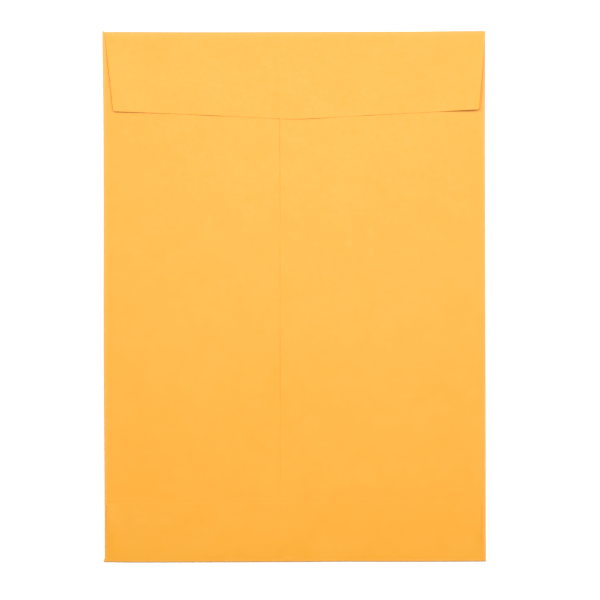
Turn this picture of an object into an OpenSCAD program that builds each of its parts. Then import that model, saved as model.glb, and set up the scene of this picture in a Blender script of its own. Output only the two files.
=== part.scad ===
// Open-end envelope of kraft paper, folded and glued from one die-cut sheet.
// It lies on its front panel, as it would on a table, with the seam and both flaps facing up.
// The origin is on the table under the middle of the envelope. +Y points at the fold of the
// closing flap, and +X to the right for someone who looks down at the back.

/* [Envelope] */
// Width over the two side folds
env_w = 191.8; // [150:0.1:260]
// Height over the bottom fold and the top fold
env_h = 266.5; // [220:0.5:360]

/* [Paper] */
// Thickness of the paper
paper_t = 0.15; // [0.1:0.01:0.25]
// Air gap that the empty pocket keeps between its front and back panels
pocket_gap = 0.5; // [0.3:0.05:1.5]
// Run over which a glued sheet climbs by one thickness of paper
step_run = 1.5; // [0.8:0.1:4]

/* [Centre seam] */
// Width by which the right back panel laps over the left one
seam_lap = 14; // [8:0.5:24]

/* [Mouth] */
// Gap between the ends of the side folds and the top fold
neck_h = 0.3; // [0.1:0.1:8]
// Drop of the back panels' top edges, from the side folds to the seam
throat_dip = 6; // [1:0.5:15]

/* [Closing flap] */
// Depth from the top fold to the tip of the flap
flap_depth = 43.8; // [25:0.1:80]
// Slope of each half of the flap's free edge, in degrees
flap_slope = 2.8; // [0.5:0.1:12]
// Radius that rounds off the tip, where the two slopes meet
flap_tip_r = 120; // [20:5:400]
// Lean of the flap's side edges, in degrees
flap_taper = 5.2; // [1:0.1:15]
// Distance from the envelope's side to the flap's side, where the flap leaves the top fold
flap_inset = 0.6; // [0.5:0.1:5]
// Radius of the flap's two corners
flap_corner_r = 0.6; // [0.3:0.1:12]
// Sideways drift of the flap, as its fold isn't quite true to the pocket
flap_drift = 0.5; // [0:0.1:0.5]
// Free height between the flap and the seam, as the flap isn't gummed down
flap_clearance = 0.2; // [0.1:0.05:1]

/* [Bottom flap] */
// Height of the glued flap above the bottom fold
bottom_flap_h = 29.4; // [15:0.1:60]
// Distance from the envelope's side to the bottom flap's side
bottom_inset = 2; // [0.5:0.1:8]
// Height over which the bottom flap narrows from the fold's full width
bottom_flare_h = 6; // [2:0.5:12]
// Radius of the bottom flap's two corners
bottom_corner_r = 0.8; // [0.3:0.1:8]
// Run over which the bottom flap comes down from its fold onto the back panels
bottom_fold_run = 3; // [1.5:0.5:8]

/* [Hidden] */
$fn = 48;

// Gold of the kraft paper
KRAFT = [0.99, 0.74, 0.32];
// Straight steps in each rounded corner of a cut edge
CORNER_STEPS = 6;
// Margin by which a cutter passes what it cuts
PAST = 1;

// Heights of the undersides of the stacked sheets, over the table
back_z = paper_t + pocket_gap;
lap_z = back_z + paper_t;
lap_top_z = lap_z + paper_t;
flap_z = lap_top_z + flap_clearance;

// Inner radius of each fold, half of what it bends around
side_fold_r = pocket_gap / 2;
bottom_fold_r = (lap_top_z - paper_t) / 2;
top_fold_r = (flap_z - paper_t) / 2;

// Width of the flat front between the side folds
flat_w = env_w - 2 * (side_fold_r + paper_t);
// Lines at which the flat front ends and the bottom and top folds begin
bottom_y = -env_h / 2 + bottom_fold_r + paper_t;
top_y = env_h / 2 - top_fold_r - paper_t;
// Line at which the side folds end, just short of the top fold
throat_y = top_y - neck_h;
// Width of the closing flap where it leaves the top fold
flap_w = env_w - 2 * flap_inset;

// Points of an arc that rounds off the corner between two straight edges
function rounded_corner(before, corner, after, r) =
    let (
        to_before = (before - corner) / norm(before - corner),
        to_after = (after - corner) / norm(after - corner),
        half_angle = acos(to_before * to_after) / 2,
        inward = (to_before + to_after) / norm(to_before + to_after),
        centre = corner + inward * r / sin(half_angle),
        start = corner + to_before * r / tan(half_angle) - centre,
        turn = cross(to_before, to_after) > 0 ? -1 : 1,
        sweep = turn * (180 - 2 * half_angle)
    )
    [for (i = [0 : CORNER_STEPS])
        let (a = sweep * i / CORNER_STEPS)
        centre + [start.x * cos(a) - start.y * sin(a), start.x * sin(a) + start.y * cos(a)]];

// Half of a ring of folded paper in section, open towards +X, with its middle at the origin
module fold_section(inner_r) {
    difference() {
        circle(r = inner_r + paper_t);
        circle(r = inner_r);
        translate([0, -inner_r - paper_t - PAST])
            square([inner_r + paper_t + PAST, 2 * (inner_r + paper_t + PAST)]);
    }
}

// A section drawn in X and Z, drawn out along Y
module along_y(from_y, to_y) {
    translate([0, to_y, 0])
        rotate([90, 0, 0])
            linear_extrude(height = to_y - from_y)
                children();
}

// A section drawn in Y and Z, drawn out along X
module along_x(from_x, to_x) {
    translate([from_x, 0, 0])
        rotate([90, 0, 90])
            linear_extrude(height = to_x - from_x)
                children();
}

// Pocket in section: front panel, side folds and the two back panels that lap at the seam
module pocket_section() {
    translate([-flat_w / 2, 0])
        square([flat_w, paper_t]);
    for (side = [-1, 1])
        translate([side * flat_w / 2, paper_t + side_fold_r])
            rotate(side > 0 ? 180 : 0)
                fold_section(side_fold_r);
    translate([-flat_w / 2, back_z])
        square([flat_w / 2 + seam_lap / 2, paper_t]);
    polygon([
        [flat_w / 2, back_z],
        [flat_w / 2, lap_z],
        [seam_lap / 2 + step_run, lap_z],
        [seam_lap / 2, lap_top_z],
        [-seam_lap / 2, lap_top_z],
        [-seam_lap / 2, lap_z],
        [seam_lap / 2, lap_z],
        [seam_lap / 2 + step_run, back_z]
    ]);
}

// Shallow V that the mouth cuts out of the back panels, hidden under the closing flap
module throat_cut() {
    translate([0, 0, paper_t + side_fold_r])
        linear_extrude(height = flap_z)
            polygon([
                [-flat_w / 2, throat_y + PAST],
                [-flat_w / 2, throat_y],
                [0, throat_y - throat_dip],
                [flat_w / 2, throat_y],
                [flat_w / 2, throat_y + PAST]
            ]);
}

module pocket() {
    difference() {
        along_y(bottom_y, throat_y)
            pocket_section();
        throat_cut();
    }
}

// Closing flap laid flat, with X at the middle of its fold and Y up from the fold's outside
module closing_flap_outline() {
    root_y = top_y - env_h / 2;
    tip_y = -flap_depth - flap_tip_r * (1 / cos(flap_slope) - 1);
    corner_x = (flap_w / 2 + (tip_y - root_y) * tan(flap_taper))
        / (1 - tan(flap_taper) * tan(flap_slope));
    corner_y = tip_y + corner_x * tan(flap_slope);
    left_root = [-flap_w / 2, root_y];
    left = [-corner_x, corner_y];
    tip = [0, tip_y];
    right = [corner_x, corner_y];
    right_root = [flap_w / 2, root_y];
    polygon(concat(
        [left_root],
        rounded_corner(left_root, left, tip, flap_corner_r),
        rounded_corner(left, tip, right, flap_tip_r),
        rounded_corner(tip, right, right_root, flap_corner_r),
        [right_root]
    ));
}

// Front panel above the pocket, the top fold and the flap that comes down over the mouth
module closing_flap() {
    translate([flap_drift, 0, 0]) {
        translate([-flap_w / 2, throat_y, 0])
            cube([flap_w, top_y - throat_y, paper_t]);
        translate([0, top_y, paper_t + top_fold_r])
            along_x(-flap_w / 2, flap_w / 2)
                rotate(180)
                    fold_section(top_fold_r);
        translate([0, env_h / 2, flap_z])
            linear_extrude(height = paper_t)
                closing_flap_outline();
    }
}

// Ridge that the bottom flap takes on over the lapped seam, with the gum that fills it, in section
module seam_ridge_section() {
    polygon([
        [-seam_lap / 2 - step_run, lap_z],
        [seam_lap / 2 + step_run, lap_z],
        [seam_lap / 2 + step_run, lap_z + paper_t],
        [seam_lap / 2, lap_top_z + paper_t],
        [-seam_lap / 2, lap_top_z + paper_t],
        [-seam_lap / 2 - step_run, lap_z + paper_t]
    ]);
}

// Bottom fold, with the stretch of flap that comes down from it onto the back panels, in section
module bottom_fold_section() {
    translate([bottom_y, paper_t + bottom_fold_r])
        fold_section(bottom_fold_r);
    polygon([
        [bottom_y, lap_top_z],
        [bottom_y, lap_top_z + paper_t],
        [bottom_y + bottom_fold_run, lap_z + paper_t],
        [bottom_y + bottom_fold_run, lap_z]
    ]);
}

// Bottom flap's cut shape, seen from above
module bottom_flap_outline() {
    fold_y = -env_h / 2;
    edge_y = fold_y + bottom_flap_h;
    full_x = env_w / 2;
    edge_x = full_x - bottom_inset;
    flare_y = fold_y + bottom_flare_h;
    polygon(concat(
        [[-full_x, fold_y], [full_x, fold_y], [full_x, bottom_y], [edge_x, flare_y]],
        rounded_corner([edge_x, flare_y], [edge_x, edge_y], [-edge_x, edge_y], bottom_corner_r),
        rounded_corner([edge_x, edge_y], [-edge_x, edge_y], [-edge_x, flare_y], bottom_corner_r),
        [[-edge_x, flare_y], [-full_x, bottom_y]]
    ));
}

// Bottom flap, folded up over the back panels and glued down on them
module bottom_flap() {
    edge_y = -env_h / 2 + bottom_flap_h;
    intersection() {
        union() {
            along_x(-env_w / 2, env_w / 2)
                bottom_fold_section();
            along_y(bottom_y, edge_y)
                seam_ridge_section();
            translate([-env_w / 2, bottom_y + bottom_fold_run, lap_z])
                cube([env_w, edge_y - bottom_y - bottom_fold_run, paper_t]);
        }
        translate([0, 0, -PAST])
            linear_extrude(height = flap_z + 2 * PAST)
                bottom_flap_outline();
    }
}

module envelope() {
    color(KRAFT)
        union() {
            pocket();
            bottom_flap();
            closing_flap();
        }
}

envelope();
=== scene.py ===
"""An open-end kraft envelope, lying on its front with its back up, seen from straight above."""
import math

import bmesh
import bpy
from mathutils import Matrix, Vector


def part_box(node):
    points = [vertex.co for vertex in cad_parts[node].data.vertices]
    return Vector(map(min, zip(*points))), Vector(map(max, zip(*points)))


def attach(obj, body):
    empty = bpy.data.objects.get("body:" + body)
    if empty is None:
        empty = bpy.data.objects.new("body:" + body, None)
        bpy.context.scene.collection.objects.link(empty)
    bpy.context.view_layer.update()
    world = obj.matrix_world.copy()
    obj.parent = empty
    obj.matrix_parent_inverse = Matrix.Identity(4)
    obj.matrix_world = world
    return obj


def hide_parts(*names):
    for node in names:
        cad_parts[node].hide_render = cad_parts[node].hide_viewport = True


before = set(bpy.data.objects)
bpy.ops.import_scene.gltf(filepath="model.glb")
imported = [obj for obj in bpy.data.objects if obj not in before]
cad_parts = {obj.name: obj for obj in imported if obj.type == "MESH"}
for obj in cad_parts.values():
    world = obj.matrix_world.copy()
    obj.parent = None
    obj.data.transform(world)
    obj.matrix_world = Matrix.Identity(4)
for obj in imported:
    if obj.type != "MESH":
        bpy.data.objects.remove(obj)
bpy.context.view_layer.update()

MM = 0.001

# The envelope's box gives its outer size and the places of its folds
LOW, HIGH = (Vector(corner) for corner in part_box("envelope"))
ENV_W = HIGH.x - LOW.x
ENV_H = HIGH.y - LOW.y

# Paper, seam, mouth and the gaps between the sheets, as in the part's source
PAPER = 0.15 * MM
POCKET_GAP = 0.5 * MM
SEAM_LAP = 14 * MM
NECK_H = 0.3 * MM
THROAT_DIP = 6 * MM
FLAP_CLEARANCE = 0.2 * MM

# Gum in the glued joints, and the runs over which a glued sheet and the loose closing flap climb
# over the seam, softer than in the part's source
GUM = 0.012 * MM
STEP_RUN = 6 * MM
FLAP_STEP_RUN = 4 * MM

# Heights of the undersides of the stacked sheets
BACK_Z = PAPER + POCKET_GAP
LAP_Z = BACK_Z + PAPER
LAP_TOP_Z = LAP_Z + PAPER
FLAP_Z = LAP_TOP_Z + FLAP_CLEARANCE

# Half the height of each fold, to the middle of the paper
SIDE_R = BACK_Z / 2
BOTTOM_R = (LAP_TOP_Z + 2 * GUM) / 2
TOP_R = FLAP_Z / 2
# How far a fold reaches out, as a share of that: the bottom fold is pressed the sharpest
FOLD_REACH = 0.55
BOTTOM_REACH = 0.3

# Lines at which the flat front panel ends and its folds begin
FLAT_X = ENV_W / 2 - FOLD_REACH * SIDE_R - PAPER / 2
BOTTOM_Y = LOW.y + BOTTOM_REACH * BOTTOM_R + PAPER / 2
TOP_Y = HIGH.y - FOLD_REACH * TOP_R - PAPER / 2
THROAT_Y = TOP_Y - NECK_H

# Places where a side fold bows out, or in by a bow below 0: y, bow and reach, left and right
LEFT_BOWS = [
    (133 * MM, 0.4 * MM, 26 * MM),
    (-15 * MM, 0.26 * MM, 40 * MM),
    (-60 * MM, 0.12 * MM, 30 * MM),
]
RIGHT_BOWS = [(125 * MM, 0.29 * MM, 32 * MM), (-120 * MM, -0.15 * MM, 50 * MM)]
# Power by which such a bow fades towards the middle
BOW_POWER = 4
# Places where the top fold and the bottom fold bow up, or down by a bow below 0: x, bow and
# reach, and the runs over which that fades
TOP_BOWS = [
    (-95 * MM, 0.4 * MM, 42 * MM),
    (3 * MM, 0.14 * MM, 60 * MM),
    (95 * MM, 0.32 * MM, 30 * MM),
]
BOTTOM_BOWS = [
    (-96 * MM, 0.25 * MM, 9 * MM),
    (26 * MM, 0.12 * MM, 14 * MM),
    (66 * MM, -0.07 * MM, 26 * MM),
]
TOP_BOW_RUN = 40 * MM
BOTTOM_BOW_RUN = 15 * MM
# Height by which the left side fold runs on beside the closing flap, the width that does, the
# width over which that ends and the run of the fold over which it stretches
CORNER_RISE = 1.1 * MM
CORNER_W = 1.1 * MM
CORNER_FADE = 0.5 * MM
CORNER_RUN = 3 * MM

# Closing flap, left and right: its ends at the fold and at the free edge, and its corners' radii
FLAP_ROOT = (-94.75 * MM, 95.95 * MM)
FLAP_CORNER = (-90.85 * MM, 92.75 * MM)
FLAP_CORNER_R = (0.3 * MM, 0.9 * MM)
# Its depth at the tip, the slope up from there and how that slope eases off, per metre
FLAP_DEPTH = 43.8 * MM
FLAP_SLOPE = (0.06, 0.0562)
FLAP_EASE = (0.13, 0.062)
# Radius that rounds off its tip, and the tip's place
FLAP_TIP_R = 4 * MM
FLAP_TIP_X = -0.2 * MM

# Bottom flap: its height, its ends at the free edge and, wider, at the fold, the heights over
# which it narrows, left and right, the radius of its corners, and the run over which it comes down
# from its fold onto the back
BOTTOM_FLAP_H = 29.65 * MM
BOTTOM_FLAP_ENDS = (-94.7 * MM, 93.6 * MM)
BOTTOM_ROOT = (-96.4 * MM, 95.85 * MM)
BOTTOM_FLARE = (5 * MM, 7 * MM)
BOTTOM_CORNER_R = 0.8 * MM
BOTTOM_FOLD_RUN = 12 * MM

# Air under the closing flap where it has come to rest on the back, and the run down from the top
# fold over which it does
CONTACT_GAP = 0.15 * MM
SETTLE_RUN = 26 * MM

# Height that the back of the empty pocket bows up, the runs over which it does, and the share of
# it that is left at the top, where the mouth is
SWELL = 0.42 * MM
SWELL_SIDE_RUN = 38 * MM
SWELL_BOTTOM_RUN = 42 * MM
SWELL_TOP_RUN = 70 * MM
SWELL_TOP_SHARE = 0.35
# Share of the swell by which it ripples, and the waves of that: height, turn along X and along Y
# in radians a metre, and start
RIPPLE = 0.28
RIPPLE_WAVES = [(1, 31, 17, 0.6), (0.8, 47, -39, 2.1), (0.6, -23, 71, 4.0)]

# How far the bottom fold presses the back down towards the front, and the run over which it does
PRESS = 0.27 * MM
PRESS_RUN = 12 * MM

# Share by which the top fold is creased flatter than the flap beyond it, and the run of that
CREASE = 0.213
CREASE_RUN = 3 * MM

# How far the closing flap's sides stand off the back, the run down from the top fold over which
# they come to do so, left and right, and the reach of that from each side
FLAP_SIDE_LIFT = (1.02 * MM, 2.4 * MM)
FLAP_SIDE_RUN = (17 * MM, 28 * MM)
FLAP_SIDE_REACH = 12 * MM

# Places along the closing flap's free edge that stand clear of the back: x, lift and reach
FLAP_LIFTS = [
    (-80 * MM, 0.45 * MM, 18 * MM),
    (86 * MM, 0.3 * MM, 13 * MM),
    (8 * MM, 0.5 * MM, 7 * MM),
    (-6 * MM, 0.15 * MM, 3 * MM),
    (-43 * MM, 0.5 * MM, 6 * MM),
    (38 * MM, 0.3 * MM, 4 * MM),
]

# Places along the seam's cut edge that stand clear of the left panel: y, lift and reach
SEAM_LIFTS = [
    (80 * MM, 0.38 * MM, 12 * MM),
    (58 * MM, 0.26 * MM, 9 * MM),
    (40 * MM, 0.18 * MM, 9 * MM),
    (12 * MM, 0.28 * MM, 9 * MM),
    (-26 * MM, 0.36 * MM, 9 * MM),
    (-45 * MM, 0.34 * MM, 8 * MM),
    (-84 * MM, 0.05 * MM, 8 * MM),
]
# Width over which the right panel comes up to them, and the runs up from the bottom flap and down
# from the top fold over which the seam is free to stand clear
SEAM_LIFT_RUN = 8 * MM
SEAM_FREE_BOTTOM = 12 * MM
SEAM_FREE_TOP = 36 * MM
# Height and width of the margin that the gum leaves loose all along the seam
SEAM_MARGIN = (0.08 * MM, 2.5 * MM)
# How far the seam's cut edge stands left of its place in a true fold, at the bottom and the top
SEAM_DRIFT = (0.36 * MM, 0.1 * MM)

# How far the bottom flap's ends stand off the back, left and right, the reach of that, and the
# run up from the fold over which they come to do so
BOTTOM_END_LIFT = (0.66 * MM, 0.58 * MM)
BOTTOM_END_REACH = 4 * MM
BOTTOM_END_RUN = 22 * MM

# Swelling at the bottom fold where the seam's two layers end: place, height and size
SEAM_END = Vector((-3.5 * MM, LOW.y + 1.3 * MM))
SEAM_END_RISE = 0.1 * MM
SEAM_END_SIZE = Vector((2.2 * MM, 0.9 * MM))

# Spacing of the sheet's mesh on its flat stretches, beside its edges and at details, and the
# widths of the closer bands beside the sheet's sides and beside a flap's free edge
WIDE_STEP = 2.8 * MM
EDGE_STEP = 1 * MM
FINE_STEP = 0.5 * MM
SIDE_BAND = 4 * MM
FREE_EDGE_BAND = 2 * MM
# Steps in each fold and in a corner's radius, and the width over which the shading goes from a
# side fold's round to the flat
FOLD_STEPS = 10
CORNER_STEPS = 4
FOLD_BLEND = 0.25 * MM
# Share of a step that rounding may add, and the distance within which points are one
ROUNDING = 1e-6
MERGE = 0.002 * MM
# Angle from which an edge of the sheet is shaded sharp
SHARP_ANGLE = math.radians(40)

# Places, sizes and power of the two soft lamps, and light from the white room around
FAR_LAMP = (0.05, 0.5, 1.4)
FAR_SIZE = (2.0, 0.4)
FAR_POWER = 18.1
NEAR_LAMP = (0.02, 0.09, 0.5)
NEAR_SIZE = (0.4, 0.2)
NEAR_POWER = 0.96
ROOM_LIGHT = 0.27

# Width of the rim beside the sheet's cut sides, and the share of the paper's thickness that the
# shears left at the very edge
RIM = 0.9 * MM
RIM_THICKNESS = 0.75
# How pale the closing flap's free edge and the other cut edges are, partly their own paleness and
# partly a painted highlight where they catch the light, and how near the flap's outline a point of
# that free edge lies
FREE_EDGE_PALENESS_AND_HIGHLIGHT = 0.25
EDGE_PALENESS_AND_HIGHLIGHT = 0.5
FREE_EDGE_NEAR = 1 * MM
# How pale the outer folds are, at the top, the bottom and the sides, and how far inwards: partly
# wear, partly painted sheen and painted light on fold rounds that turn away from the lamps
FOLD_WEAR_AND_SHEEN = (0.8, 1, 1)
FOLD_WEAR_AND_SHEEN_RUN = (3.5 * MM, 1.5 * MM, 1.5 * MM)

# Colours of the kraft: its clouds from deep to light, its outer folds, partly worn and partly
# painted sheen, and its cut edges, partly pale and partly painted highlight
DEEP_GOLD = (0.892, 0.372, 0.001, 1)
LIGHT_GOLD = (0.908, 0.396, 0.016, 1)
WORN_AND_SHEEN_GOLD = (0.93, 0.43, 0.07, 1)
CUT_AND_HIGHLIGHT_GOLD = (0.93, 0.44, 0.008, 1)
# Sizes of its small and large clouds, mottle, cockle, patches along the cut edges, fibres, which
# run along the sheet, and tooth
CLOUD_SIZE = 5 * MM
LARGE_CLOUD_SIZE = 17 * MM
MOTTLE_SIZE = 2.2 * MM
COCKLE_SIZE = 6 * MM
EDGE_PATCH_SIZE = 9 * MM
FIBRE_SIZE = 0.4 * MM
FIBRE_STRETCH = (1, 6, 1)
TOOTH_SIZE = 0.35 * MM
# Heights of its cockle and of its fibres and tooth
COCKLE_H = 0.03 * MM
FIBRE_H = 0.003 * MM
# Span of the clouds' noise from deep to light gold, and the least and the most that the mottle
# lets through of the wear and painted sheen on a fold, and the patches of the paleness and painted
# highlight of a cut edge
CLOUD_SPAN = (0.6, 1.4)
WORN_AND_SHEEN_SHARE = (0.3, 1.2)
CUT_AND_HIGHLIGHT_SHARE = (-0.4, 1.9)
# Its glaze: roughness from the smooth to the rough mottle, what a cut edge adds, and its gloss
ROUGHNESS = (0.485, 0.56)
CUT_ROUGHNESS = 0.16
GLOSS = 0.565


def smooth(value):
    """Goes from 0 to 1 as value does, with no kink at either end."""
    value = min(max(value, 0.0), 1.0)
    return value * value * (3 - 2 * value)


def mix(start, stop, share):
    """Value that lies a share of the way from start to stop."""
    return start + (stop - start) * share


def hump(value, middle, reach):
    """A round hump of height 1 at middle, which fades over reach."""
    return math.exp(-((value - middle) / reach) ** 2)


def humps(value, places):
    """Sum of the humps at several places, each given by its middle, height and reach."""
    return sum(height * hump(value, middle, reach) for middle, height, reach in places)


def spaced(start, stop, step):
    """Values from start to stop, no further apart than step."""
    count = max(1, math.ceil(abs(stop - start) / step - ROUNDING))
    return [start + (stop - start) * i / count for i in range(count + 1)]


def joined(*stretches):
    """One list of the values of several stretches that meet end to end."""
    values = [stretches[0][0]]
    for stretch in stretches:
        values += stretch[1:]
    return values


def across_ends(ends, across):
    """X of a place between a flap's two ends, for across from -1 to 1."""
    return mix(ends[0], ends[1], (across + 1) / 2)


def out_of_true(point):
    """The point once the folds bow as they do and the bottom fold is pressed flat."""
    x, y, z = point
    share = min(abs(x) / FLAT_X, 1.0) ** BOW_POWER
    aside = humps(y, RIGHT_BOWS) if x > 0 else -humps(y, LEFT_BOWS)
    up = humps(x, TOP_BOWS) * smooth(1 - (TOP_Y - y) / TOP_BOW_RUN)
    up += humps(x, BOTTOM_BOWS) * smooth(1 - (y - BOTTOM_Y) / BOTTOM_BOW_RUN)
    near_fold = min(max(1 - (y - BOTTOM_Y) / PRESS_RUN, 0.0), 1.0)
    down = PRESS * near_fold ** 2 * smooth((z - PAPER / 2) / (2 * SIDE_R))
    return Vector((x + share * aside, y + up, z - down))


def back_swell(x, y):
    """Height that the back of the pocket stands over its folds, as the two sheets part."""
    from_side = smooth((ENV_W / 2 - abs(x)) / SWELL_SIDE_RUN)
    from_bottom = smooth((y - LOW.y) / SWELL_BOTTOM_RUN)
    from_top = smooth((HIGH.y - y) / SWELL_TOP_RUN)
    ripple = sum(h * math.sin(by_x * x + by_y * y + start) for h, by_x, by_y, start in RIPPLE_WAVES)
    height = SWELL * from_side * from_bottom * mix(SWELL_TOP_SHARE, 1, from_top)
    return height * (1 + RIPPLE * ripple)


def seam_rise(x, run=STEP_RUN):
    """Share of a paper's thickness that a sheet over the seam stands higher, at x."""
    return smooth((SEAM_LAP / 2 + run - abs(x)) / run)


def back_top(x, y):
    """Height of the top of the back panels, without the seam's second layer."""
    return LAP_Z + back_swell(x, y)


def fold_over(beyond, radius, reach=FOLD_REACH):
    """Whether a point of the sheet lies in a fold, how far out past the fold's line, and how high."""
    arc = math.pi * radius
    if beyond < arc:
        angle = beyond / radius
        return True, reach * radius * math.sin(angle), PAPER / 2 + radius * (1 - math.cos(angle))
    return False, arc - beyond, PAPER / 2 + 2 * radius


def side_panel_point(side, beyond, y):
    """Point of a back panel, beyond one side's fold line by that much paper."""
    in_fold, out, z = fold_over(beyond, SIDE_R)
    x = side * (FLAT_X + out)
    if side < 0:
        raised = smooth(beyond / SIDE_R) * smooth((CORNER_W + out) / CORNER_FADE)
        y += CORNER_RISE * raised * smooth((y - THROAT_Y) / CORNER_RUN + 1)
    if in_fold:
        return Vector((x, y, z))
    from_middle = FLAT_X + out
    throat = THROAT_Y - THROAT_DIP * (1 - max(from_middle, 0.0) / FLAT_X)
    y = mix(BOTTOM_Y, throat, (y - BOTTOM_Y) / (THROAT_Y - BOTTOM_Y))
    z += back_swell(x, y)
    if side > 0:
        z += (PAPER + GUM) * smooth((SEAM_LAP / 2 + STEP_RUN - from_middle) / STEP_RUN)
        from_edge = from_middle + SEAM_LAP / 2
        lift = humps(y, SEAM_LIFTS) * smooth(1 - from_edge / SEAM_LIFT_RUN)
        lift += SEAM_MARGIN[0] * smooth(1 - from_edge / SEAM_MARGIN[1])
        lift *= smooth((y - LOW.y - BOTTOM_FLAP_H) / SEAM_FREE_BOTTOM)
        z += lift * smooth((TOP_Y - y) / SEAM_FREE_TOP)
        x -= mix(*SEAM_DRIFT, (y - LOW.y) / ENV_H) * smooth(1 - from_edge / SEAM_LAP)
    return Vector((x, y, z))


def flap_edge_depth(x):
    """Depth of the closing flap's free edge below the top fold, at x."""
    off = x - FLAP_TIP_X
    side = 1 if off > 0 else 0
    slope = FLAP_SLOPE[side] * (math.hypot(off, FLAP_TIP_R) - FLAP_TIP_R)
    return FLAP_DEPTH - slope + FLAP_EASE[side] * off * off


def rounded_end(left, radius):
    """How far a rounded corner draws an edge in, where left of its length remains."""
    if left >= radius:
        return 0.0
    return radius - math.sqrt(radius * radius - (radius - left) ** 2)


def closing_flap_point(across, beyond, run):
    """Point of the closing flap; across goes from -1 to 1 over its width."""
    in_fold, out, z = fold_over(beyond, TOP_R)
    z -= (z - PAPER / 2) * CREASE * (1 - smooth(-out / CREASE_RUN))
    if in_fold:
        return Vector((across_ends(FLAP_ROOT, across), TOP_Y + out, z))
    share = -out / run
    length = flap_edge_depth(across_ends(FLAP_CORNER, across)) - (HIGH.y - TOP_Y)
    left_over = (1 - share) * length
    ends = [mix(FLAP_ROOT[i], FLAP_CORNER[i], share) for i in (0, 1)]
    ends[0] += rounded_end(left_over, FLAP_CORNER_R[0])
    ends[1] -= rounded_end(left_over, FLAP_CORNER_R[1])
    x = across_ends(ends, across)
    y = TOP_Y - share * length
    over_seam = (PAPER + GUM) * seam_rise(x, FLAP_STEP_RUN)
    rest = back_top(x, y) + over_seam + CONTACT_GAP + PAPER / 2
    z = mix(z, rest, smooth(share * length / SETTLE_RUN))
    for i in (0, 1):
        lifted = smooth(share * length / FLAP_SIDE_RUN[i])
        z += FLAP_SIDE_LIFT[i] * lifted * hump(x, ends[i], FLAP_SIDE_REACH)
    return Vector((x, y, z + share * share * humps(x, FLAP_LIFTS)))


def bottom_flap_point(across, beyond, run):
    """Point of the bottom flap; across goes from -1 to 1 over its width."""
    in_fold, out, z = fold_over(beyond, BOTTOM_R, BOTTOM_REACH)
    if in_fold:
        widened = smooth(beyond / BOTTOM_R)
        x = mix(across * FLAT_X, across_ends(BOTTOM_ROOT, across), widened)
        return Vector((x, BOTTOM_Y - out, z))
    share = -out / run
    length = BOTTOM_FLAP_H - (BOTTOM_Y - LOW.y)
    up = share * length
    ends = [mix(BOTTOM_ROOT[i], BOTTOM_FLAP_ENDS[i], smooth(up / BOTTOM_FLARE[i])) for i in (0, 1)]
    corner = rounded_end(length - up, BOTTOM_CORNER_R)
    x = across_ends((ends[0] + corner, ends[1] - corner), across)
    y = BOTTOM_Y + up
    glued = back_top(x, y) + GUM + PAPER / 2 + (PAPER + GUM) * seam_rise(x)
    z = mix(z + back_swell(x, y), glued, smooth(up / BOTTOM_FOLD_RUN))
    ends_lift = sum(BOTTOM_END_LIFT[i] * hump(x, ends[i], BOTTOM_END_REACH) for i in (0, 1))
    z += ends_lift * smooth(up / BOTTOM_END_RUN)
    z += SEAM_END_RISE * hump(x, SEAM_END.x, SEAM_END_SIZE.x) * hump(y, SEAM_END.y, SEAM_END_SIZE.y)
    return Vector((x, y, z))


def blank_columns():
    """Places across the front panel, and places beyond a side fold across a back panel."""
    step_in = SEAM_LAP / 2
    step_out = SEAM_LAP / 2 + STEP_RUN
    half_front = joined(
        spaced(0, step_in, WIDE_STEP / 2),
        spaced(step_in, step_out, FINE_STEP),
        spaced(step_out, FLAT_X - SIDE_BAND, WIDE_STEP),
        spaced(FLAT_X - SIDE_BAND, FLAT_X - RIM, EDGE_STEP),
        [FLAT_X - RIM, FLAT_X],
    )
    front = [-x for x in reversed(half_front[1:])] + half_front
    arc = math.pi * SIDE_R
    over = arc + FLAT_X
    beyond = joined(
        spaced(0, arc, arc / FOLD_STEPS),
        [arc, arc + FOLD_BLEND, arc + FOLD_WEAR_AND_SHEEN_RUN[2]],
        spaced(arc + FOLD_WEAR_AND_SHEEN_RUN[2], over - step_out, WIDE_STEP),
        spaced(over - step_out, over - step_in, FINE_STEP / 2),
        spaced(over - step_in, over + step_in - SIDE_BAND, WIDE_STEP),
        spaced(over + step_in - SIDE_BAND, over + step_in - RIM, FINE_STEP / 2),
        [over + step_in - RIM, over + step_in],
    )
    return front, beyond


def flap_rows(radius, run, fold_run, corner_r):
    """Places along a flap, measured from its fold line: the fold, its flat and its edge."""
    arc = math.pi * radius
    return joined(
        spaced(0, arc, arc / FOLD_STEPS),
        spaced(arc, arc + fold_run, FINE_STEP),
        spaced(arc + fold_run, arc + run - FREE_EDGE_BAND, WIDE_STEP),
        spaced(arc + run - FREE_EDGE_BAND, arc + run - corner_r, FINE_STEP),
        spaced(arc + run - corner_r, arc + run, corner_r / CORNER_STEPS),
    )


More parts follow.
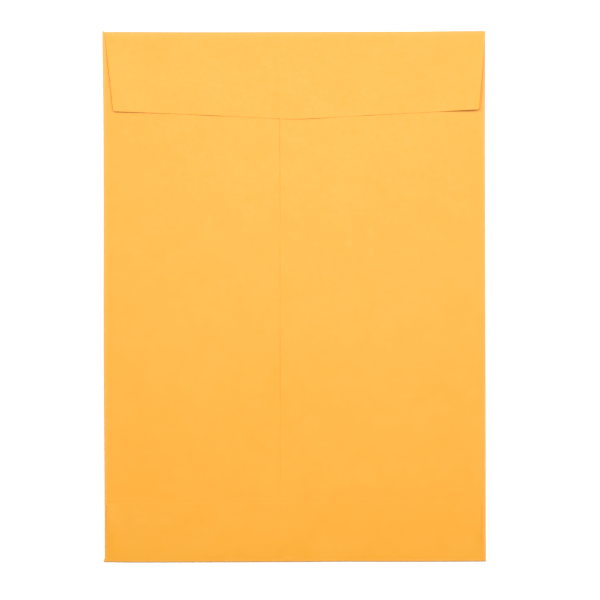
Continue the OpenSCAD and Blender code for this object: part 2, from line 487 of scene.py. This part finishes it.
def folded_grids():
    """The folded blank as grids of points that share their fold lines."""
    front_x, side_beyond = blank_columns()
    body_y = joined(
        [BOTTOM_Y, BOTTOM_Y + NECK_H],
        spaced(BOTTOM_Y + NECK_H, BOTTOM_Y + PRESS_RUN, EDGE_STEP),
        spaced(BOTTOM_Y + PRESS_RUN, THROAT_Y, WIDE_STEP),
    )
    front_panel = [[Vector((x, y, PAPER / 2)) for x in front_x] for y in body_y]
    neck = [
        [Vector((x, THROAT_Y, PAPER / 2)) for x in front_x],
        [Vector((across_ends(FLAP_ROOT, x / FLAT_X), TOP_Y, PAPER / 2)) for x in front_x],
    ]
    # The side folds end a neck's height short of the bottom fold, as they do of the top fold
    left_panel, right_panel = (
        [[side_panel_point(side, beyond, y) for beyond in side_beyond] for y in body_y[1:]]
        for side in (-1, 1)
    )
    top_run = FLAP_DEPTH - (HIGH.y - TOP_Y)
    closing_flap = [
        [closing_flap_point(x / FLAT_X, beyond, top_run) for x in front_x]
        for beyond in flap_rows(TOP_R, top_run, CREASE_RUN, max(FLAP_CORNER_R))
    ]
    bottom_run = BOTTOM_FLAP_H - (BOTTOM_Y - LOW.y)
    bottom_flap = [
        [bottom_flap_point(x / FLAT_X, beyond, bottom_run) for x in front_x]
        for beyond in flap_rows(BOTTOM_R, bottom_run, BOTTOM_FOLD_RUN, BOTTOM_CORNER_R)
    ]
    return [front_panel, neck, left_panel, right_panel, closing_flap, bottom_flap]


def wear_and_sheen(point):
    """How pale the paper is at a point, from 0 to 1, only along the outer folds: partly wear, and
    partly painted sheen and painted light on the folds' rounds.
    """
    depths = (HIGH.y - point.y, point.y - LOW.y, ENV_W / 2 - abs(point.x))
    folds = zip(FOLD_WEAR_AND_SHEEN, depths, FOLD_WEAR_AND_SHEEN_RUN)
    return max(most * smooth(1 - depth / run) for most, depth, run in folds)


def rim_and_highlight(point):
    """How pale and dull the cut edge at a point is, the paleness partly its own and partly a painted
    highlight: least along the closing flap's free edge.
    """
    on_free_edge = abs(HIGH.y - point.y - flap_edge_depth(point.x)) < FREE_EDGE_NEAR
    return FREE_EDGE_PALENESS_AND_HIGHLIGHT if on_free_edge else EDGE_PALENESS_AND_HIGHLIGHT


def sheet_surface():
    """Middle surface of the folded paper as one mesh, with its points on the cut edges."""
    bm = bmesh.new()
    for grid in folded_grids():
        rows = [[bm.verts.new(out_of_true(point)) for point in row] for row in grid]
        for low_row, high_row in zip(rows, rows[1:]):
            for i in range(len(low_row) - 1):
                bm.faces.new((low_row[i], low_row[i + 1], high_row[i + 1], high_row[i]))
    bmesh.ops.remove_doubles(bm, verts=bm.verts, dist=MERGE)
    bmesh.ops.recalc_face_normals(bm, faces=bm.faces)
    bm.verts.index_update()
    cut = [vert.index for vert in bm.verts if vert.is_boundary]
    mesh = bpy.data.meshes.new("folded_sheet")
    bm.to_mesh(mesh)
    bm.free()
    return mesh, cut


def folded_sheet():
    """The whole envelope: one sheet of paper, folded, with its thickness and its cut edges."""
    mesh, cut = sheet_surface()
    count = len(mesh.vertices)
    # Mask of the outer folds' paleness: partly wear, partly painted sheen and painted light
    worn_and_sheen = mesh.attributes.new("wear_and_sheen", "FLOAT", "POINT")
    for vertex in mesh.vertices:
        worn_and_sheen.data[vertex.index].value = wear_and_sheen(vertex.co)
    # Mask of the cut edges' paleness: partly their own, partly a painted highlight
    rims_and_highlights = mesh.attributes.new("rim_and_highlight", "FLOAT", "POINT")
    for index in cut:
        rims_and_highlights.data[index].value = rim_and_highlight(mesh.vertices[index].co)
    sheet = bpy.data.objects.new("folded_sheet", mesh)
    bpy.context.collection.objects.link(sheet)
    full = sheet.vertex_groups.new(name="thickness")
    full.add(list(range(count)), 1.0, "REPLACE")
    full.add(cut, RIM_THICKNESS, "REPLACE")
    solid = sheet.modifiers.new("thickness", "SOLIDIFY")
    solid.thickness = PAPER
    solid.offset = 0
    solid.use_even_offset = True
    solid.vertex_group = full.name
    depsgraph = bpy.context.evaluated_depsgraph_get()
    sheet.data = bpy.data.meshes.new_from_object(sheet.evaluated_get(depsgraph))
    sheet.modifiers.clear()
    sheet.vertex_groups.clear()
    sheet.data.shade_smooth()
    sheet.data.set_sharp_from_angle(angle=SHARP_ANGLE)
    return sheet


class Shading:
    """Builds one material's nodes: put fills a socket, and the others return what a node gives."""

    def __init__(self, name):
        self.material = bpy.data.materials.new(name)
        self.material.use_nodes = True
        self.nodes = self.material.node_tree.nodes
        self.links = self.material.node_tree.links
        self.shader = self.nodes["Principled BSDF"]
        self.place = self.nodes.new("ShaderNodeTexCoord").outputs["Object"]

    def put(self, socket, value):
        """Links what a node gives to a socket, or sets the socket to a plain value."""
        if isinstance(value, bpy.types.NodeSocket):
            self.links.new(value, socket)
        else:
            socket.default_value = value

    def noise(self, size, detail=2, roughness=0.5, stretch=(1, 1, 1)):
        """Cloudy noise with features of a size in metres, drawn out by a stretch."""
        mapping = self.nodes.new("ShaderNodeMapping")
        mapping.inputs["Scale"].default_value = [1 / (size * s) for s in stretch]
        self.put(mapping.inputs["Vector"], self.place)
        texture = self.nodes.new("ShaderNodeTexNoise")
        texture.inputs["Scale"].default_value = 1
        texture.inputs["Detail"].default_value = detail
        texture.inputs["Roughness"].default_value = roughness
        self.put(texture.inputs["Vector"], mapping.outputs["Vector"])
        return texture.outputs["Fac"]

    def ranged(self, value, low, high, start=0.25, stop=0.75):
        """Maps a value from start to stop onto low to high."""
        ramp = self.nodes.new("ShaderNodeMapRange")
        limits = {"From Min": start, "From Max": stop, "To Min": low, "To Max": high}
        for name, limit in limits.items():
            ramp.inputs[name].default_value = limit
        self.put(ramp.inputs["Value"], value)
        return ramp.outputs["Result"]

    def sums(self, operation, first, *others):
        """The same arithmetic over several values, one after another."""
        for other in others:
            node = self.nodes.new("ShaderNodeMath")
            node.operation = operation
            self.put(node.inputs[0], first)
            self.put(node.inputs[1], other)
            first = node.outputs["Value"]
        return first

    def tinted(self, factor, low, high):
        """Colour between low and high."""
        node = self.nodes.new("ShaderNodeMix")
        node.data_type = "RGBA"
        self.put(node.inputs["Factor"], factor)
        self.put(node.inputs["A"], low)
        self.put(node.inputs["B"], high)
        return node.outputs["Result"]

    def attribute(self, name):
        """A value that the mesh carries at its points."""
        node = self.nodes.new("ShaderNodeAttribute")
        node.attribute_name = name
        return node.outputs["Fac"]

    def bump(self, height, distance, normal=None):
        """Surface relief, where a height of 1 stands that distance proud."""
        node = self.nodes.new("ShaderNodeBump")
        node.inputs["Strength"].default_value = 1
        node.inputs["Distance"].default_value = distance
        self.put(node.inputs["Height"], height)
        if normal:
            self.put(node.inputs["Normal"], normal)
        return node.outputs["Normal"]


def kraft_paper():
    """Glazed gold kraft: clouded, cockled and fibrous, with its folds partly worn and partly painted
    with sheen and light, and its cut edges dull, partly pale and partly painted with a highlight.
    """
    paper = Shading("kraft_paper")
    small_clouds = paper.noise(CLOUD_SIZE, detail=3, roughness=0.6)
    clouds = paper.sums("ADD", small_clouds, paper.noise(LARGE_CLOUD_SIZE))
    mottle = paper.noise(MOTTLE_SIZE, detail=3, roughness=0.65)
    cockle = paper.noise(COCKLE_SIZE)
    fibres = paper.noise(FIBRE_SIZE, roughness=0.6, stretch=FIBRE_STRETCH)
    tooth = paper.noise(TOOTH_SIZE, roughness=0.6)
    worn_and_sheen = paper.sums("MULTIPLY", paper.attribute("wear_and_sheen"), paper.ranged(mottle, *WORN_AND_SHEEN_SHARE))
    patches = paper.ranged(paper.noise(EDGE_PATCH_SIZE), *CUT_AND_HIGHLIGHT_SHARE)
    cut = paper.sums("MULTIPLY", paper.attribute("rim_and_highlight"), patches)

    colour = paper.tinted(paper.ranged(clouds, 0, 1, *CLOUD_SPAN), DEEP_GOLD, LIGHT_GOLD)
    # Painted sheen and painted light along the outer folds, with some real wear
    colour = paper.tinted(worn_and_sheen, colour, WORN_AND_SHEEN_GOLD)
    # Painted highlight along the cut edges, with their own paleness
    colour = paper.tinted(cut, colour, CUT_AND_HIGHLIGHT_GOLD)
    paper.put(paper.shader.inputs["Base Color"], colour)
    dulled = paper.sums("MULTIPLY", cut, CUT_ROUGHNESS)
    roughness = paper.sums("ADD", paper.ranged(mottle, *ROUGHNESS), dulled)
    paper.put(paper.shader.inputs["Roughness"], roughness)
    paper.shader.inputs["Specular IOR Level"].default_value = GLOSS
    normal = paper.bump(cockle, COCKLE_H)
    normal = paper.bump(paper.sums("ADD", fibres, tooth), FIBRE_H, normal)
    paper.put(paper.shader.inputs["Normal"], normal)
    return paper.material


def pale_table():
    """Even white table top."""
    table = Shading("pale_table")
    table.shader.inputs["Base Color"].default_value = (1, 1, 1, 1)
    table.shader.inputs["Roughness"].default_value = 0.9
    table.shader.inputs["Specular IOR Level"].default_value = 0.1
    return table.material


def add_floor():
    """Pale table top, far wider than the view and a hair under the paper."""
    half = 3.0
    top = -0.02 * MM
    mesh = bpy.data.meshes.new("table_top")
    corners = [(-half, -half, top), (half, -half, top), (half, half, top), (-half, half, top)]
    mesh.from_pydata(corners, [], [(0, 1, 2, 3)])
    floor = bpy.data.objects.new("table_top", mesh)
    bpy.context.collection.objects.link(floor)
    floor.data.materials.append(pale_table())


def add_lamp(name, place, size, power):
    """Soft lamp with a width and a height, which faces the middle of the envelope."""
    light = bpy.data.lights.new(name, "AREA")
    light.shape = "RECTANGLE"
    light.size, light.size_y = size
    light.energy = power
    lamp = bpy.data.objects.new(name, light)
    bpy.context.collection.objects.link(lamp)
    lamp.visible_camera = False
    lamp.location = place
    lamp.rotation_euler = (-Vector(place)).to_track_quat("-Z", "Y").to_euler()


def add_lights():
    """A wide soft lamp beyond the top fold, a near one overhead and a plain white room."""
    add_lamp("far_lamp", FAR_LAMP, FAR_SIZE, FAR_POWER)
    add_lamp("near_lamp", NEAR_LAMP, NEAR_SIZE, NEAR_POWER)
    world = bpy.data.worlds.new("white_room")
    world.use_nodes = True
    world.node_tree.nodes["Background"].inputs["Color"].default_value = (1, 1, 1, 1)
    world.node_tree.nodes["Background"].inputs["Strength"].default_value = ROOM_LIGHT
    bpy.context.scene.world = world


def add_camera():
    """Looks straight down, as the photograph does, from far enough away to keep edges parallel."""
    photo_px = 600
    envelope_px = 529.7
    middle_px = (294.7, 297.0)
    turn = math.radians(-0.18)
    height = 1.3
    sensor_mm = 36
    metres_a_px = ENV_H / envelope_px
    data = bpy.data.cameras.new("camera")
    data.sensor_width = sensor_mm
    data.lens = sensor_mm * (height - FLAP_Z) / (photo_px * metres_a_px)
    camera = bpy.data.objects.new("camera", data)
    bpy.context.collection.objects.link(camera)
    camera.location = (
        (photo_px / 2 - middle_px[0]) * metres_a_px,
        (middle_px[1] - photo_px / 2) * metres_a_px,
        height,
    )
    camera.rotation_euler = (0, 0, turn)
    bpy.context.scene.camera = camera


sheet = folded_sheet()
sheet.data.materials.append(kraft_paper())
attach(sheet, "root")
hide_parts("envelope")
add_floor()
add_lights()
add_camera()
bpy.context.scene.view_settings.view_transform = "Standard"
